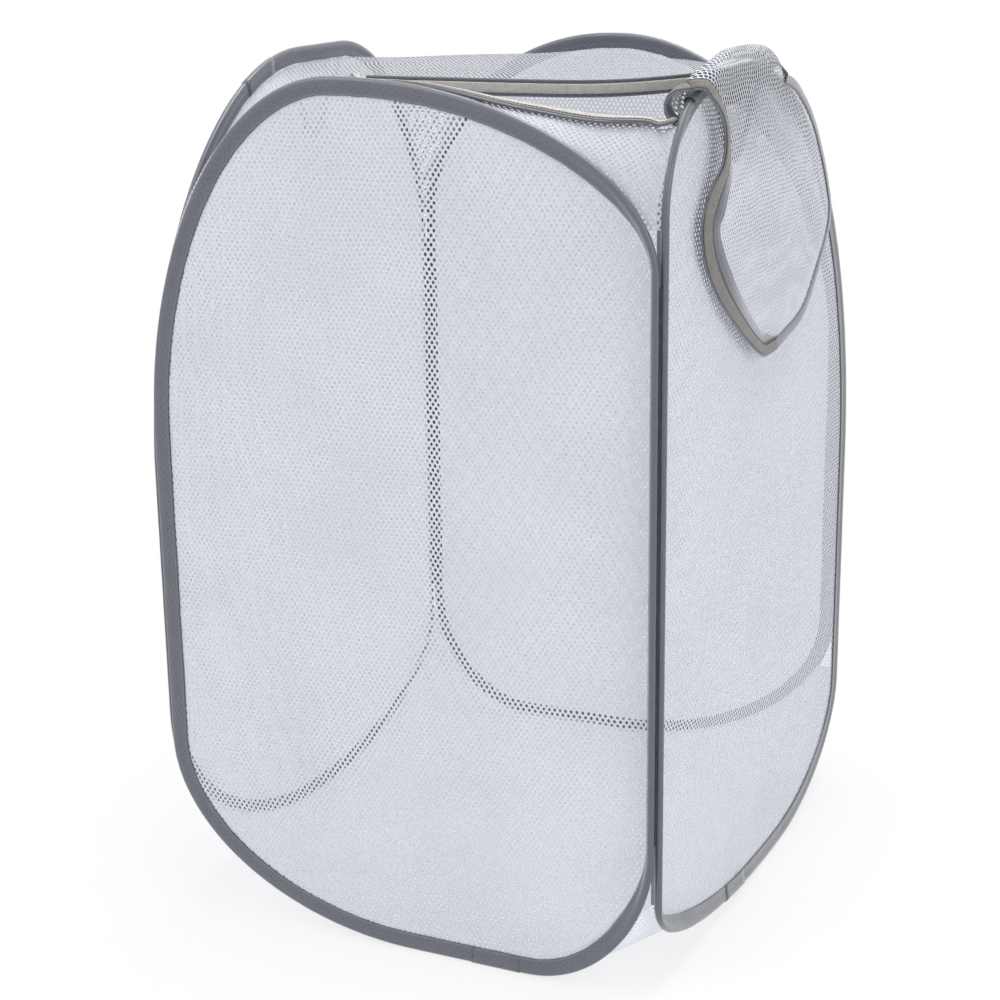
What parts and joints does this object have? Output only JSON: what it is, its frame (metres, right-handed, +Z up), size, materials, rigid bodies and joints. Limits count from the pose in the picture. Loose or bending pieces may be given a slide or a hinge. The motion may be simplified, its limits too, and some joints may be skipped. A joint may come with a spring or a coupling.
{
  "type": "pop up laundry hamper",
  "caption": "Upright pop up laundry hamper of white mesh on spring wire hoops with grey binding, its top flap turned out over one side.",
  "frame": {"origin": "on the ground under the middle of the floor sheet", "axes": "+Z up, -Y towards the front panel, +X towards the side the flap hangs over"},
  "size_m": [0.3794, 0.4156, 0.5977],
  "materials": {
    "mesh_cloth": "white knitted mesh with oval holes",
    "binding_cloth": "grey woven binding with a slight sheen",
    "hook_tape": "fuzzy taupe hook and loop tape",
    "spring_wire": "spring steel",
    "thread": "grey thread"
  },
  "bodies": {
    "front_panel": {"front_wire_hoop": "spring_wire", "front_binding": "binding_cloth", "front_mesh_panel": "mesh_cloth", "front_binding_lap": "binding_cloth", "corner_seam_front_right": "thread", "corner_seam_front_left": "thread", "floor_mesh": "mesh_cloth", "top_mesh": "mesh_cloth", "opening_near_binding": "binding_cloth", "opening_near_tape": "hook_tape", "opening_far_binding": "binding_cloth", "opening_far_tape": "hook_tape"},
    "right_panel": {"right_wire_hoop": "spring_wire", "right_binding": "binding_cloth", "right_mesh_panel": "mesh_cloth", "right_binding_lap": "binding_cloth", "corner_seam_back_right": "thread", "flap_root": "binding_cloth", "flap_root_curl": "hook_tape", "right_handle_tab": "hook_tape"},
    "back_panel": {"back_wire_hoop": "spring_wire", "back_binding": "binding_cloth", "back_mesh_panel": "mesh_cloth", "back_binding_lap": "binding_cloth"},
    "left_panel": {"left_wire_hoop": "spring_wire", "left_binding": "binding_cloth", "left_mesh_panel": "mesh_cloth", "left_binding_lap": "binding_cloth", "corner_seam_back_left": "thread", "left_handle_tab": "hook_tape"},
    "flap": {"flap_mesh": "mesh_cloth", "flap_binding": "binding_cloth", "flap_hook_tape": "hook_tape"},
    "left_handle": {"left_handle": "binding_cloth"},
    "right_handle": {"right_handle": "binding_cloth"}
  },
  "joints": [
    {"name": "fold_front_right", "type": "hinge", "parent": "front_panel", "child": "right_panel", "pos_m": [0.17865, -0.20165, 0.29], "axis": [0, 0, -1], "range_deg": [0, 86], "deforming": ["floor_mesh", "top_mesh", "opening_near_binding", "opening_near_tape", "opening_far_binding", "opening_far_tape"]},
    {"name": "fold_front_left", "type": "hinge", "parent": "front_panel", "child": "left_panel", "pos_m": [-0.17865, -0.20165, 0.29], "axis": [0, 0, -1], "range_deg": [0, 86]},
    {"name": "fold_back_right", "type": "hinge", "parent": "right_panel", "child": "back_panel", "pos_m": [0.17865, 0.20165, 0.29], "axis": [0, 0, 1], "range_deg": [0, 86]},
    {"name": "flap_hinge", "type": "hinge", "parent": "right_panel", "child": "flap", "pos_m": [0.185, -0.088, 0.5907], "axis": [0, -1, 0], "range_deg": [0, 270]},
    {"name": "left_handle_swing", "type": "hinge", "parent": "left_panel", "child": "left_handle", "pos_m": [-0.1848, 0.037, 0.576], "axis": [0, 1, 0], "range_deg": [0, 150]},
    {"name": "right_handle_swing", "type": "hinge", "parent": "right_panel", "child": "right_handle", "pos_m": [0.1848, -0.081, 0.576], "axis": [0, -1, 0], "range_deg": [0, 6]}
  ],
  "couplings": [
    {"joint": "fold_front_left", "follows": "fold_front_right", "ratio": 1},
    {"joint": "fold_back_right", "follows": "fold_front_right", "ratio": 1}
  ]
}
